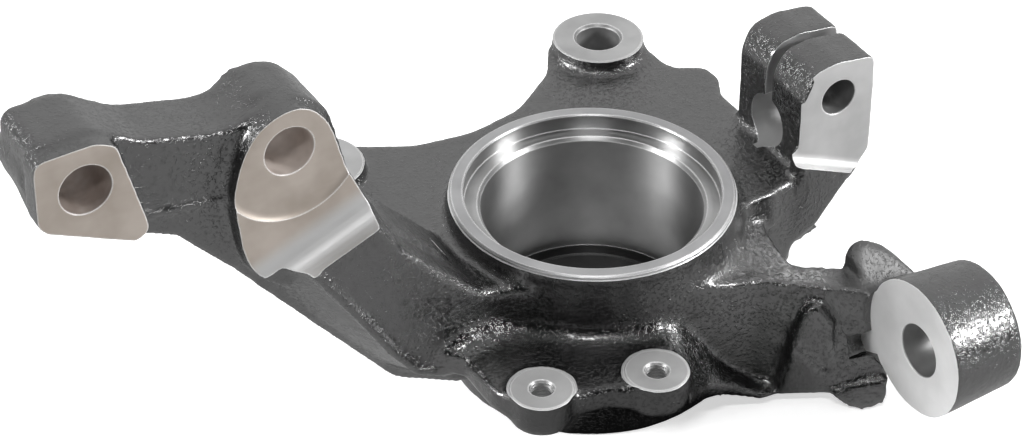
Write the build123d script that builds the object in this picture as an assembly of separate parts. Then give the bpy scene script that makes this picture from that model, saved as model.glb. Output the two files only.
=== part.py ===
from build123d import *
import math
import os

# A cast-iron steering knuckle, as it comes machined and bare.
# Millimetres. +Z is the hub axis toward the inboard side, +X runs from the strut lugs to the
# ball-joint clamp, +Y points to the caliper side.
# The functions below measure heights from the machined ring face on top of the hub (z = 0 there).
# The last step lifts the casting by RING_Z, so that the origin is the middle of the bearing seat.

# Hub
SEAT_R = 36.0            # bearing seat, a 72 mm bearing
SEAT_DEPTH = 50.0        # ring face to the bearing's shoulder
SHOULDER_R = 31.0
COUNTER_R = 41.4         # relief above the seat
COUNTER_DEPTH = 5.5
RING_R = 46.0
RING_STEP = -2.4         # height at which the turned ring ends and the cast skin begins
HUB_BOTTOM = -64.0
FOOT_R = 47.2            # outer radius at the outboard rim
RING_Z = (COUNTER_DEPTH + SEAT_DEPTH) / 2

# Break of the cast edges
CAST_EDGE = 1.1

# Web between the caliper lugs
WEB_TOP = -8.0
WEB_THICK = 14.0
LUG_TOP = -3.0
LUG_R = 15.7
LUG_LENGTH = 25.0
CALIPER_A = (49.7, 78.3)
CALIPER_B = (-68.2, 60.6)
CALIPER_HOLE_R = 7.5

# Two small lugs on the front flange
FLANGE_TOP = -24.0
FLANGE_BOTTOM = -32.8
SMALL_A = (-50.4, -54.0)
SMALL_B = (-15.3, -64.3)
SMALL_R = 10.24
SMALL_TOP = -23.0
SMALL_HOLE_R = 3.4       # core hole of an M8 thread

# Strut lugs
PAD_Y = -13.0            # machined faces
SPINE_Y = -6.5           # cast wall between them
BACK_Y = 17.0
STRUT_UPPER = (-175.4, 72.0)
STRUT_LOWER = (-111.4, 61.9)
STRUT_HOLE_R = 8.1
SPOT_R = 23.4            # spot-face round the lower strut hole
SPOT_DEPTH = 1.0
PAD_CURVE = 30.0         # least curve of the lower pad's outline
LEG_Y = -22.0            # front face of the leg

# Ball-joint clamp
CLAMP_FRONT = -16.0
CLAMP_BACK = 20.5
CLAMP_LEFT = 68.6
CLAMP_RIGHT = 97.0
SLIT_Y = 2.7
SLIT_WIDTH = 4.0
BALL_Z = 1.2
BALL_R = 9.2
PINCH = (83.2, 16.5)
PINCH_R = 6.4
NECK_Y = -20.0

# Track-rod arm
ARM_FOOT = -60.0
ARM_TURN = -28.0         # direction of the buttress's front, seen from above
BUTTRESS = 5.8           # how far the buttress stands out from the wall
ROD_FACE_X = 65.2
ROD_CENTRE = (-88.5, -30.0)
ROD_R = 23.1
ROD_END_R = 21.2
ROD_LENGTH = 27.0
ROD_HOLE = (-90.8, -29.3)
ROD_HOLE_R = 8.9


def outline(points, plane=Plane.XY, bands=0):
    """A face with the given corners; a third number rounds that corner as far as its sides allow.

    The rounding is an arc, or a few straight bands along that arc.
    """
    corners = [Vector(p[0], p[1]) for p in points]
    edges = []
    stops = []
    for i, here in enumerate(corners):
        r = points[i][2] if len(points[i]) > 2 else 0
        back = corners[i - 1] - here
        on = corners[(i + 1) % len(corners)] - here
        half = math.radians(back.get_angle(on)) / 2
        reach = min(r / math.tan(half), 0.49 * back.length, 0.49 * on.length)
        if reach < 0.05:
            stops.append((here, here))
            continue
        start = here + back.normalized() * reach
        end = here + on.normalized() * reach
        inward = (back.normalized() + on.normalized()).normalized()
        stops.append((start, end))
        if bands:
            centre = here + inward * reach / math.cos(half)
            sweep = math.pi - 2 * half
            stations = [
                centre + ((start - centre) * math.sin((1 - i / bands) * sweep)
                + (end - centre) * math.sin(i / bands * sweep)) / math.sin(sweep) for i in range(bands + 1)
            ]
            edges += [Line(a, b) for a, b in zip(stations, stations[1:])]
            continue
        middle = here + inward * reach * (1 / math.cos(half) - math.tan(half))
        edges.append(ThreePointArc(start, middle, end))
    for i, (start, _) in enumerate(stops):
        edges.append(Line(stops[i - 1][1], start))
    return plane * make_face(edges)


def slab(points, y0, y1):
    """A solid between two Y levels whose outline is given as (x, z)."""
    face = outline(points, Plane.XZ.offset(-y0))
    return extrude(face, amount=y1 - y0, dir=(0, 1, 0))


def plate(points, z0, z1):
    """A solid between two heights whose outline is given as (x, y)."""
    return extrude(outline(points, Plane.XY.offset(z0)), amount=z1 - z0)


def pin(x, y, z0, z1, r):
    """An upright cylinder."""
    return Pos(x, y, (z0 + z1) / 2) * Cylinder(r, abs(z1 - z0))


def pin_y(x, z, y0, y1, r):
    """A cylinder along Y."""
    return Pos(x, (y0 + y1) / 2, z) * Rot(90, 0, 0) * Cylinder(r, abs(y1 - y0))


def pin_x(y, z, x0, x1, r):
    """A cylinder along X."""
    return Pos((x0 + x1) / 2, y, z) * Rot(0, 90, 0) * Cylinder(r, abs(x1 - x0))


def turned(points):
    """A solid of revolution about the hub axis from (radius, z) points."""
    face = outline(points, Plane.XZ, bands=3)
    return revolve(face, axis=Axis.Z)


def hub_body():
    return turned([
        (0, 0), (RING_R - 0.6, 0), (RING_R, -0.6), (RING_R, WEB_TOP - 3.5), (FOOT_R, HUB_BOTTOM + 14),
        (FOOT_R, HUB_BOTTOM + 1.2), (FOOT_R - 1.2, HUB_BOTTOM), (0, HUB_BOTTOM),
    ])


def web_plan():
    ax, ay = CALIPER_A
    bx, by = CALIPER_B
    return [
        (bx + 13, by + 12, 10), (-32, 60.5, 20), (-12, 57.5, 30), (8, 61.5, 20), (28, 76, 12),
        (ax - 14.5, ay + 9),
        (ax + 14.5, ay + 2), (65, 64, 5), (67, 56.5, 4), (76.5, 51, 4), (77, 43.5, 5), (72.3, 34.5, 6),
        (72.3, 20), (76, 10), (76, -15), (67, -18, 6), (56, -22, 8), (44, -22.5, 12), (38, -30), (20, -38),
        (-24, -35), (-44, -21.5), (-62, -10), (-78, 16), (-84, 40, 12), (bx - 14.5, by),
    ]


def web():
    body = plate(web_plan(), WEB_TOP - WEB_THICK, WEB_TOP)
    edges = body.edges().filter_by(lambda e: abs(e.center().Z - WEB_TOP) < 0.01)
    return chamfer(edges, CAST_EDGE)


def raised():
    """The cast fillets that lead from the web and the arm up to the ring and to the caliper lugs."""
    low = WEB_TOP - 1
    ring = turned([
        (0, low), (RING_R + 12, low), (RING_R + 12, WEB_TOP), (RING_R + 0.7, WEB_TOP, 5),
        (RING_R + 0.5, RING_STEP), (0, RING_STEP),
    ])
    body = ring & plate(web_plan(), low, 0)
    skirt = turned([
        (38, -34), (38, RING_STEP - 0.3), (RING_R + 0.3, RING_STEP - 0.3), (RING_R + 0.8, -15.5, 9),
        (64, -20), (64, -34),
    ])
    corner = [(18, -28), (36, -18.4), (52, -18.2), (50.3, -26.5), (49, -34), (48.5, -44.5), (31, -48.1),
        (14, -46.4), (6, -42)]
    body += skirt & plate(corner, -33, 0)
    for x, y in (CALIPER_A, CALIPER_B):
        foot = [(0, low), (LUG_R + 6, low), (LUG_R + 6, WEB_TOP), (LUG_R, WEB_TOP, 3.5),
            (LUG_R, LUG_TOP), (0, LUG_TOP)]
        skirt = Pos(x, y, 0) * turned(foot)
        body += (skirt & plate(web_plan(), low, 0)) + pin(x, y, LUG_TOP - LUG_LENGTH, LUG_TOP, LUG_R)
    return body


def flange():
    """The front flange with its two small lugs."""
    ax, ay = SMALL_A
    bx, by = SMALL_B
    plan = [
        (-62.8, -24, 3), (-63.2, -46, 8), (ax - SMALL_R, ay), (ax, ay), (-44.5, -61.8), (-38, -62.2, 5),
        (-31, -63.6, 5), (-25.5, -68), (bx, by), (-9, -71), (-4.5, -67), (-3, -48), (-3, -30), (-40, -10),
    ]
    root = [
        (30, -60), (30, FLANGE_TOP + 12), (RING_R + 0.3, FLANGE_TOP + 12), (RING_R + 0.3, FLANGE_TOP, 6),
        (RING_R + 30, FLANGE_TOP), (RING_R + 30, -60),
    ]
    body = plate(plan, FLANGE_BOTTOM, FLANGE_TOP)
    rim = body.edges().filter_by(lambda e: e.center().X < -6 and (e.center().Y < -56 or e.center().X < -58))
    body = chamfer(rim, CAST_EDGE)
    left = plate([(-60, -24), (-58, -50), (-8, -70), (-3, -48), (-3, -30)], FLANGE_BOTTOM, FLANGE_TOP + 8)
    body += turned(root) & left
    for x, y in (SMALL_A, SMALL_B):
        body += pin(x, y, FLANGE_BOTTOM - 0.4, SMALL_TOP, SMALL_R)
        body += Pos(x, y, FLANGE_BOTTOM - 1.2) * Cone(SMALL_R - 1.6, SMALL_R, 1.6)
    return body + ramp()


def ramp():
    """The flange's right end, which sweeps down along the hub to the foot of the arm."""
    sections = [
        (-5, [(-40, -22), (-46.4, -21), (-50, -24), (-68.5, -34.5), (-68.5, -39.5), (-40, -38)]),
        (3, [(-40, -25), (-46.4, -23.5), (-50, -27.2), (-60.6, -41), (-60.6, -46), (-40, -44)]),
        (10, [(-40, -31), (-45.6, -30), (-48.5, -33.8), (-56, -45.6), (-56, -50.6), (-40, -50)]),
        (20, [(-38, -42), (-42, -41), (-45.2, -44.5), (-54.2, -50.3), (-54.6, -55.4), (-38, -55)]),
        (31, [(-32, -54), (-35.6, -53), (-39, -56.5), (-56.4, -57.4), (-56.8, -60), (-32, -60)]),
        (36, [(-32, -56.5), (-36, -56.5), (-40, -58.2), (-57.4, -58.7), (-57.8, -60), (-32, -60)]),
    ]
    return loft([Plane.YZ.offset(x) * make_face(Polyline(*points, close=True)) for x, points in sections],
        ruled=True)


def spine():
    """Strut lugs, the bridge between them and the leg down to the hub."""
    side = [
        (-189, 59.5, 4), (-189, 87, 5), (-170, 87.2, 12), (-155, 77.5, 18), (-128, 71, 20), (-113, 75.9, 6),
        (-103.8, 76.2, 8), (-95.4, 67.4, 12), (-91.6, 52, 20), (-88.6, 37.5, 20), (-81, 23.5, 14),
        (-49, -9.5), (-38, -9.5),
        (-38, -57.5), (-54, -53.5, 18), (-76, -42.5, 20), (-128, 20, 20), (-146, 39.5, 15),
    ]
    body = slab(side, SPINE_Y, BACK_Y)
    edges = body.edges().filter_by(lambda e: e.center().Y > BACK_Y - 0.1)
    body = chamfer(edges, 2 * CAST_EDGE)
    # the underside of the upper lug rises toward the back
    cut = [
        Plane.YZ.offset(x) * make_face(Polyline((SPINE_Y, z), (BACK_Y + 3, z - 5),
            (BACK_Y + 3, z + rise), close=True))
        for x, z, rise in ((-196, 62, 13), (-146, 38.8, 12), (-124, 12, 2))
    ]
    body -= loft(cut, ruled=True)
    # the front wall leans back a little below the crease between the two pads
    lean = [
        Plane.YZ.offset(x) * make_face(Polyline((SPINE_Y - 1.5, z), (SPINE_Y, z), (y, 8),
            (SPINE_Y - 1.5, 8), close=True))
        for x, z, y in ((-162, 52.3, SPINE_Y + 4), (-121, 46.8, SPINE_Y + 0.5))
    ]
    return body - loft(lean, ruled=True)


def leg():
    """The raised front of the leg, with the long bevel along its lower edge."""
    front = [
        (-112, 26), (-108.6, 20.7), (-95.8, 0.9), (-84.7, -17.4), (-76.4, -28), (-68, -32), (-56, -36),
        (-34, -40),
        (-34, -10), (-52, -6.8), (-63.3, 3.2), (-71.5, 11.7), (-80, 20.5), (-86.5, 29), (-96, 44), (-112, 44),
    ]
    back = [
        (-120.5, 18), (-117.2, 10.6), (-104.8, -6.4), (-93.3, -20.2), (-81.7, -34), (-73, -41),
        (-57.5, -49), (-34, -55),
        (-34, -10), (-52, -6.8), (-63.3, 3.2), (-71.5, 11.7), (-80, 20.5), (-82.5, 29), (-90, 44),
        (-120.5, 44),
    ]
    faces = [
        Plane.XZ.offset(-y) * make_face(Polyline(*points, close=True))
        for y, points in ((LEG_Y, front), (SPINE_Y + 1, back))
    ]
    body = loft(faces, ruled=True)
    edges = body.edges().filter_by(lambda e: e.center().Y < LEG_Y + 0.1 and -110 < e.center().X < -36)
    return fillet(edges, 2 * CAST_EDGE)


def pads():
    upper = [
        (-190.6, 64, 4), (-190.2, 85.6, 4), (-171, 86.3, 8), (-165, 83.4, 3), (-156.8, 51.2, 3),
        (-161.5, 48.6, 3), (-188, 61, 4),
    ]
    lower = [
        (-128.6, 33), (-130.4, 50.5), (-126.5, 64), (-121.5, 71.5), (-115, 75.2), (-108, 76), (-103, 74),
        (-98, 67.5), (-93.3, 48.7), (-83.5, 28), (-94, 17.5), (-104, 13.5), (-118, 15.5), (-126, 24),
    ]
    root = [
        (-128.6, 33), (-131, 50.5), (-127.2, 64.5), (-122, 72), (-115.2, 75.8), (-107.5, 76),
        (-102.5, 72), (-97, 64), (-91, 45), (-84.5, 28), (-92, 15.5), (-104, 12), (-119, 14), (-127, 24),
    ]
    sections = [
        outline([(x, z, PAD_CURVE) for x, z in points], Plane.XZ.offset(-y))
        for y, points in ((PAD_Y, lower), (SPINE_Y + 3, root))
    ]
    return slab(upper, PAD_Y, SPINE_Y + 2) + loft(sections, ruled=True)


def blend():
    """Fills the corners between the front of the leg, the hub and the flange."""
    corner = plate([(-62, -12), (-62, LEG_Y), (-46, LEG_Y, 16), (-22, -37), (-10, -24)], -37, -9)
    foot = []
    for x, r in ((-68, 1.0), (-61, 8.5), (-40, 8.5)):
        hollow = [
            (LEG_Y - r + r * math.sin(math.radians(a)),
            FLANGE_TOP + r - r * math.cos(math.radians(a))) for a in range(0, 91, 18)
        ]
        back = [(LEG_Y + 4, FLANGE_TOP + r), (LEG_Y + 4, FLANGE_BOTTOM + 1), (LEG_Y - r, FLANGE_BOTTOM + 1)]
        foot.append(Plane.YZ.offset(x) * make_face(Polyline(*hollow, *back, close=True)))
    return corner + loft(foot, ruled=True)


def mill(x0, z0, x1, z1, face_y, radius, length=80):
    """What a face mill removes in front of face_y above the line from (x0, z0) to (x1, z1)."""
    slope = math.degrees(math.atan2(z1 - z0, x1 - x0))
    span = math.hypot(x1 - x0, z1 - z0)
    tool = Pos(span / 2, face_y - 20, length / 2) * Box(span, 40, length)
    low = tool.edges().filter_by(Axis.X).sort_by_distance((span / 2, face_y, 0))[0]
    tool = tool.fillet(radius, [low])
    return Pos(x0, 0, z0) * Rot(0, -slope, 0) * tool


def clamp():
    side = [
        (CLAMP_LEFT, -20), (CLAMP_LEFT, 20, 6), (72, 28.6, 8), (82, 30.2, 12), (96.4, 28.2, 2.5),
        (CLAMP_RIGHT, 14, 8), (CLAMP_RIGHT, -8.5, 3), (89, -18),
    ]
    body = slab(side, CLAMP_FRONT, CLAMP_BACK)
    edges = body.edges().filter_by(lambda e: e.center().Y > CLAMP_BACK - 0.1)
    return chamfer(edges, CAST_EDGE)


def neck():
    side = [
        (30, -9), (66, -9), (66, 0), (96, 0), (96, -4), (89, -12.5, 2), (75, -30, 3), (66, -34.5, 2),
        (64, -40, 6), (52, -50), (30, -50),
    ]
    body = slab(side, NECK_Y, CLAMP_BACK - 4)
    top = slab([(30, WEB_TOP), (64, WEB_TOP), (90, WEB_TOP), (90, 20), (30, 20)], CLAMP_FRONT, CLAMP_BACK)
    body -= top
    lip = slab([(60, -31), (76, -31), (77.5, -33.2, 1), (67, -36.2), (66.5, -42), (60, -42)], NECK_Y + 2, 0)
    root = plate([(30, -10), (64, -10), (64, NECK_Y), (55, NECK_Y - 1.5, 8), (43.5, -22.5, 12),
        (36, -32), (26, -34)], -50, WEB_TOP - 0.8)
    return body + lip + root


def arm():
    # the upright wall, its top falling toward the track-rod boss
    plan = [
        (0, -38), (0, -44.8), (15, -46.7, 20), (31, -48.3, 14), (41, -53, 12), (66.5, -66.8), (72, -60),
        (66, -51, 3), (49, -44.2, 10), (38, -28), (10, -30),
    ]
    wall = plate(plan, ARM_FOOT - 3, 0)
    wall &= slab([(0, -13), (14, -14), (66, -23.2), (74, -24.5), (74, ARM_FOOT), (20, ARM_FOOT - 1),
        (0, ARM_FOOT - 1)], -90, -20)
    # the block behind the boss and the fin on its far side
    block = plate([(61, -50), (66, -72), (86, -76), (86, -58, 8), (80, -49, 6), (68, -48, 6)], -50, -31)
    fin = slab([
        (64.6, -50), (64.6, -17.5, 3), (67, -14, 4), (71.4, -14.2, 6), (78, -18.4, 6),
        (83, -23.5, 8), (89, -31.5, 6), (89, -50, 5),
    ], -63, -49.5)
    slope = Plane.YZ.offset(50) * make_face(Polyline((-50.6, -11.5), (-66.5, -27.5), (-66.5, -5),
        (-50.6, -5), close=True))
    fin -= extrude(slope, amount=50, dir=(1, 0, 0))
    nib = Plane.YZ.offset(ROD_FACE_X) * make_face(Polyline(
        (-61.4, -40.5), (-61.7, -45.4), (-64.5, -47.6), (-72, -44), (-72, -36), close=True,
    ))
    fin += extrude(nib, amount=7, dir=(1, 0, 0))
    boss = Pos(ROD_FACE_X + (ROD_LENGTH - 1.2) / 2, *ROD_CENTRE) * Rot(0, 90, 0) * Cone(
        ROD_R, ROD_END_R, ROD_LENGTH - 1.2)
    boss += Pos(ROD_FACE_X + ROD_LENGTH - 0.6, *ROD_CENTRE) * Rot(0, 90, 0) * Cone(
        ROD_END_R, ROD_END_R - 1.2, 1.2)
    return (wall + block + fin + buttress()) + boss


def buttress():
    """The rib on the arm's front, with a shallow pocket, a leaning foot and the lug below."""
    along = Vector(math.cos(math.radians(ARM_TURN)), math.sin(math.radians(ARM_TURN)), 0)
    front = Plane(origin=(66.5, -66.8, 0), x_dir=along, z_dir=(along.Y, -along.X, 0))
    section = Plane(origin=(66.5, -66.8, 0), x_dir=(along.Y, -along.X, 0), z_dir=-along)
    root = [(-35, ARM_FOOT - 3), (-27, -34, 12), (-20.6, -21.2, 4.5), (-9.5, -36.4, 2), (3, -37.5),
        (3, ARM_FOOT - 3)]
    face = [(-31.6, ARM_FOOT - 3), (-25.4, -33, 12), (-22.3, -22, 2.5), (-13.2, -35.2, 2), (3, -36.5),
        (3, ARM_FOOT - 3)]
    rib = loft([outline(root, front.offset(-2)), outline(face, front.offset(BUTTRESS))], ruled=True)
    hollow = [(-34, -16), (-28.5, -37.5), (-22.9, -43.9), (-18, -49.5), (-14, -52.3), (-4, -56),
        (6, -56), (6, -16)]
    rib -= extrude(outline(hollow, front.offset(BUTTRESS - 1.4)), amount=5)
    lean = [(-3, -34), (0.4, -34), (BUTTRESS, -53.5), (BUTTRESS, -58), (-3, -58)]
    rib -= extrude(outline([(-14, -16), (-14, -56), (6, -56), (6, -16)], front.offset(-3)), amount=12)
    rib += extrude(outline(lean, section.offset(-3)), amount=17)
    rib &= plate([(20, -30), (20, -90), (80, -90), (80, -30)], ARM_FOOT, 0)
    drop = [(-14.4, -57.8), (-10.4, -61.4, 3), (-5.5, -63.9, 5), (-1.5, -63.6, 4), (3.4, -61.6, 2),
        (4.4, -52.8), (-8.4, -55.4)]
    draft = [(-6, -50), (BUTTRESS + 0.8, -50), (BUTTRESS + 3.6, -63), (BUTTRESS + 3.6, -66), (-6, -66)]
    lug = extrude(outline(drop, front.offset(-6)), amount=20)
    lug &= extrude(outline(draft, section.offset(-8)), amount=26)
    return rib + lug


def machining(body):
    # hub bore
    body -= turned([
        (0, 1), (COUNTER_R, 1), (COUNTER_R, -COUNTER_DEPTH), (SEAT_R + 1, -COUNTER_DEPTH),
        (SEAT_R, -COUNTER_DEPTH - 1.2),
        (SEAT_R, -SEAT_DEPTH), (SHOULDER_R, -SEAT_DEPTH), (SHOULDER_R, HUB_BOTTOM - 1), (0, HUB_BOTTOM - 1),
    ])
    # strut lugs
    body -= mill(-132, 13.5, -74, 36.5, PAD_Y, 8.5)
    body -= pin_y(*STRUT_LOWER, PAD_Y - 3, PAD_Y + SPOT_DEPTH, SPOT_R)
    for (x, z), r in ((STRUT_UPPER, 14), (STRUT_LOWER, 14)):
        body -= pin_y(x, z, PAD_Y - 1, BACK_Y + 1, STRUT_HOLE_R)
        body -= pin_y(x, z, BACK_Y - 0.8, BACK_Y + 1, r)
    # clamp: front face, slit, ball-joint bore and pinch bolt
    body -= mill(60, -0.6, 100, -18.6, CLAMP_FRONT, 4.0, 60)
    body -= Pos(83, SLIT_Y, BALL_Z + 20) * Box(40, SLIT_WIDTH, 40)
    body -= pin_x(SLIT_Y, BALL_Z, CLAMP_LEFT - 4, CLAMP_RIGHT + 2, BALL_R)
    body -= pin_y(*PINCH, CLAMP_FRONT - 1, CLAMP_BACK + 1, PINCH_R)
    # caliper lugs
    for x, y in (CALIPER_A, CALIPER_B):
        body -= pin(x, y, LUG_TOP - LUG_LENGTH - 1, LUG_TOP + 1, CALIPER_HOLE_R)
        body -= Pos(x, y, LUG_TOP - 0.4) * Cone(CALIPER_HOLE_R - 0.1, CALIPER_HOLE_R + 0.9, 1.0)
    # small lugs
    for x, y in (SMALL_A, SMALL_B):
        body -= pin(x, y, FLANGE_BOTTOM - 3, SMALL_TOP + 1, SMALL_HOLE_R)
        body -= Pos(x, y, SMALL_TOP - 0.65) * Cone(SMALL_HOLE_R - 0.1, SMALL_HOLE_R + 1.4, 1.5)
    # track-rod boss
    body -= pin_x(*ROD_CENTRE, ROD_FACE_X - 16, ROD_FACE_X, ROD_R + 0.4)
    body -= pin_x(*ROD_HOLE, ROD_FACE_X - 1, ROD_FACE_X + ROD_LENGTH + 1, ROD_HOLE_R)
    return body


def knuckle():
    body = hub_body() + (spine() + leg() + pads())
    for more in (web(), raised(), flange(), blend(), neck(), clamp(), arm()):
        body += more
        print("casting so far", round(body.volume / 1000, 1), "cm3 in", len(body.solids()), "solid")
    body = machining(body)
    return Pos(0, 0, RING_Z) * body


os.makedirs("parts", exist_ok=True)
part = knuckle()
solids = part.solids()
print("solids", [(round(s.volume, 1), s.center()) for s in solids], "valid", part.is_valid)
print("box", part.bounding_box())
export_step(part, "parts/steering_knuckle.step")
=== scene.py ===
# %% [markdown]
# # A bare steering knuckle in cast iron
# The steering knuckle is the casting that joins a front wheel's bearing to the strut, the track rod
# and the lower ball joint. It is poured in a sand mould, shot-blasted, dipped in a thin black coat,
# and then machined where other parts bolt on. So it has two kinds of skin: a dark, grainy, softly
# rounded one, and flat bright ones with crisp borders. This script makes both out of one CAD solid.

# %% Load the frame
import math

import bmesh
import bpy
from mathutils import Matrix, Vector


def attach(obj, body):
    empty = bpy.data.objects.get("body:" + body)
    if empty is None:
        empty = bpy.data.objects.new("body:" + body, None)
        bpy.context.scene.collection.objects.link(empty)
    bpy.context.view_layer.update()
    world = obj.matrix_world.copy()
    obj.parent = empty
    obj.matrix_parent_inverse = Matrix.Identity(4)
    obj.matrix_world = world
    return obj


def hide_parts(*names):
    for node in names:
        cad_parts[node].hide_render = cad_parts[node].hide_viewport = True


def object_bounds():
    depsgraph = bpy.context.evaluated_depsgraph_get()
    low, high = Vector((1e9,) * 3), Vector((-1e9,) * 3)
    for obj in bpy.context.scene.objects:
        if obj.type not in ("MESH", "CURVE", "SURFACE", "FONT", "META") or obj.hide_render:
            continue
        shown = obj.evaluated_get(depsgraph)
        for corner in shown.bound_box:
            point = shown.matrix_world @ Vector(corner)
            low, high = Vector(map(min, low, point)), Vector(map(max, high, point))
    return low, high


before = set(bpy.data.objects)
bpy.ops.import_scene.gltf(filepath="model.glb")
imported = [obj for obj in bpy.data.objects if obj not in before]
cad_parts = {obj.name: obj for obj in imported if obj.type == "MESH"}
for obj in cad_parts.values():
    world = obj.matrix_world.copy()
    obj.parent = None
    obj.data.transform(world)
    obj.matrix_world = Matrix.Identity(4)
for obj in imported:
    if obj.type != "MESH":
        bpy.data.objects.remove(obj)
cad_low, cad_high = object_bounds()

MM = 0.001
CAST_NODE = "steering_knuckle"
print("CAD box in mm:", [round(v / MM, 1) for v in (*cad_low, *cad_high)])

# %% [markdown]
# ## Sizes shared with the machining drawing
# Heights are given from the turned ring face, as the casting's own drawing does, and `RING_Z` lifts
# them to the frame's origin, the middle of the bearing seat. A centre on a face that is square to Z
# is (x, y), one on a face square to Y is (x, z), and one on a face square to X is (y, z).

# %% Driving sizes, in millimetres
RING_Z = 27.75
SEAT_R, SEAT_DEPTH = 36.0, 50.0             # bearing seat, down to the bearing's shoulder
SHOULDER_R = 31.0
COUNTER_R, COUNTER_DEPTH = 41.4, 5.5        # counterbore above the seat
RING_R, RING_STEP = 46.0, -1.6              # ring face, and the level that is turned round it
HUB_BOTTOM = -64.0
LUG_R, LUG_TOP, LUG_FOOT = 15.7, -3.0, -28.0
CALIPERS = [(49.7, 78.3), (-68.2, 60.6)]
CALIPER_HOLE_R = 7.5
SMALLS = [(-50.4, -54.0), (-15.3, -64.3)]
SMALL_R, SMALL_TOP = 10.24, -23.0
SMALL_HOLE_R = 3.4                          # core hole of an M8 thread
PAD_Y, BACK_Y = -13.0, 17.0                 # front and back of the strut lugs
STRUTS = [(-175.4, 72.0), (-111.4, 61.9)]
STRUT_HOLE_R, SPOT_R, SPOT_DEPTH = 8.1, 23.4, 1.0
SHELF_START, SHELF_END = (-132.0, 13.5), (-74.0, 36.5)   # the milled shelf under the lower strut hole
CLAMP_FRONT, CLAMP_BACK = -16.0, 20.5
SLIT_Y, SLIT_WIDTH = 2.7, 4.0
BALL_Z, BALL_R = 1.2, 9.2
PINCH, PINCH_R = (83.2, 16.5), 6.4
ROD_FACE_X, ROD_CENTRE, ROD_R = 65.2, (-88.5, -30.0), 23.1
ROD_HOLE, ROD_HOLE_R = (-90.8, -29.3), 8.9
NIB = [(-61.2, -40.2), (-61.5, -45.5), (-64.4, -47.9), (-72, -44.3), (-72, -35.7)]   # beside the rod face
print("machined places:", len(CALIPERS), "caliper lugs,", len(SMALLS), "small lugs,", len(STRUTS), "strut lugs")

# %% [markdown]
# ## Colour and node helpers
# Colours are picked as sRGB hex values, because that is how a photograph shows them. The renderer
# works in linear light, so one function turns them round. One more function adds a node with its
# settings and links, which keeps every material short enough to read. A noise counts its cells per
# metre, so a third function works that number out from a size in millimetres.


# %% Helpers for materials
def linear(hex_code):
    """An sRGB hex colour as the linear one that the renderer works in."""
    channels = [int(hex_code[i:i + 2], 16) / 255 for i in (1, 3, 5)]
    return (*[c / 12.92 if c <= 0.04045 else ((c + 0.055) / 1.055) ** 2.4 for c in channels], 1)


def per_metre(size):
    """How many cells of this size in mm fit in a metre, as a whole number."""
    return float(round(1 / (size * MM)))


def add(tree, kind, settings=None, links=None, **attributes):
    """Adds a node; settings fill its sockets, links join other nodes' outputs to them."""
    node = tree.nodes.new(kind)
    for name, value in attributes.items():
        setattr(node, name, value)
    for key, value in (settings or {}).items():
        node.inputs[key].default_value = value
    for key, source in (links or {}).items():
        tree.links.new(source, node.inputs[key])
    return node


def new_material(name):
    mat = bpy.data.materials.new(name)
    mat.use_nodes = True
    mat.node_tree.nodes.clear()
    return mat, mat.node_tree


def close_material(mat, tree, shader):
    add(tree, "ShaderNodeOutputMaterial", links={"Surface": shader.outputs[0]})
    print("material", mat.name, "with", len(tree.nodes), "nodes")
    return mat


# %% [markdown]
# ## Material 1: blackened sand-cast iron
# Iron that froze against sand keeps the print of the grains, on top of slow swells a few millimetres
# long. The coat over it is black and satin. It is a coat, so the shader is not a metal there: it has
# hardly any colour of its own, and nearly all that the eye sees of it is its gloss. The bumps are
# sparse, with smooth coat between them. That leaves the walls dark and puts white sparkles along the
# fillets, where bumps all over would only give a grey haze.

# %% Sizes of the cast skin, in millimetres
GRAIN = 1.176   # from bump to bump; the sand's own half millimetre is too fine to show, so this is coarser
SWELL = 5.56    # from one slow swell to the next
CLOUD = 35.7    # patches where the coat is a little duller or glossier
GRAIN_HEIGHT, SWELL_HEIGHT = 0.14, 0.5
DULL_AT, DULL_OUT, DULL_IN = (77.0, -57.0, 10.0), 24.0, 15.0   # round the fin the scale is duller
TROUGH_SHADE_AT, TROUGH_SHADE_OUT, TROUGH_SHADE_IN = (-30.0, -58.0, 4.0), 48.0, 22.0   # in the flange's trough the coat's sheen is lowered: painted shade
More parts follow.
